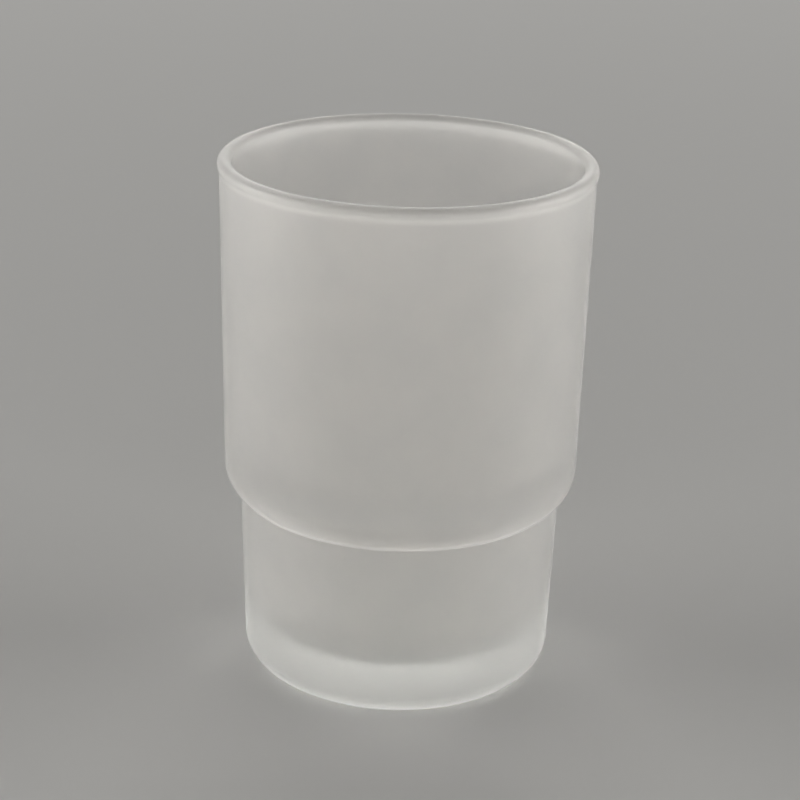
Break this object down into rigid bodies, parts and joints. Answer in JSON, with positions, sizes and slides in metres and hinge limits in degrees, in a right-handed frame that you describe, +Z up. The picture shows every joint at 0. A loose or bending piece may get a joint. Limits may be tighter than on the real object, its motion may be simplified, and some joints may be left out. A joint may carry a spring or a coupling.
{
  "type": "bathroom tumbler",
  "caption": "Frosted glass bathroom tumbler with a beaded lip, a rounded shoulder that hangs in a holder's ring, a narrower lower barrel and a thick base.",
  "frame": {"origin": "on the table, at the middle of the ring that the base stands on", "axes": "+Z up the axis of the tumbler towards the rim; it is round about +Z, so +X and +Y are any two square directions"},
  "size_m": [0.066, 0.066, 0.0946],
  "materials": {
    "frosted_glass": "acid-etched satin, translucent"
  },
  "bodies": {
    "root": {"tumbler": "frosted_glass"}
  },
  "joints": []
}
